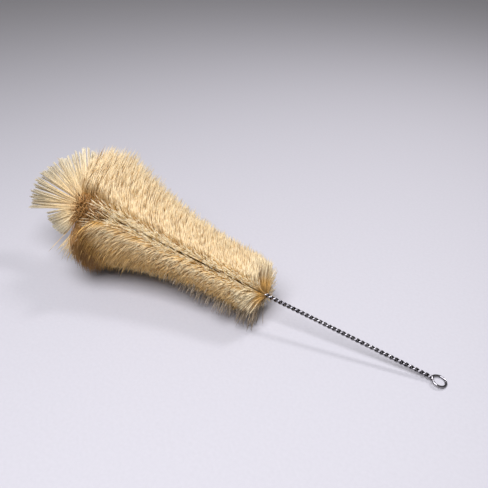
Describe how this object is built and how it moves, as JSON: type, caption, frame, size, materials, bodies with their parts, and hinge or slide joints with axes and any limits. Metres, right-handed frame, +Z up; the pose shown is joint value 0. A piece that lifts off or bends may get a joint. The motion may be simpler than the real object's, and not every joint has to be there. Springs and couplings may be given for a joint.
{
  "type": "bottle brush",
  "caption": "Natural bristle bottle brush on a twisted steel wire handle, with a wire eye to hang it by, flared bristles and a fan of bristles at the tip.",
  "frame": {"origin": "on the floor, under the middle of the box around the lying brush", "axes": "+X towards the hanging eye, so -X is the bristle tip; +Z up; the wire lies 2.3 mm beside the XZ plane and rises towards the tip"},
  "size_m": [0.308, 0.0878, 0.0861],
  "materials": {
    "steel_wire": "bright drawn steel wire",
    "side_bristle": "natural cream bristle, matte with a soft sheen",
    "tip_bristle": "natural cream bristle, straight and square cut"
  },
  "bodies": {
    "root": {"twisted_wire": "steel_wire", "side_bristles": "side_bristle", "tip_fan": "tip_bristle"}
  },
  "joints": []
}
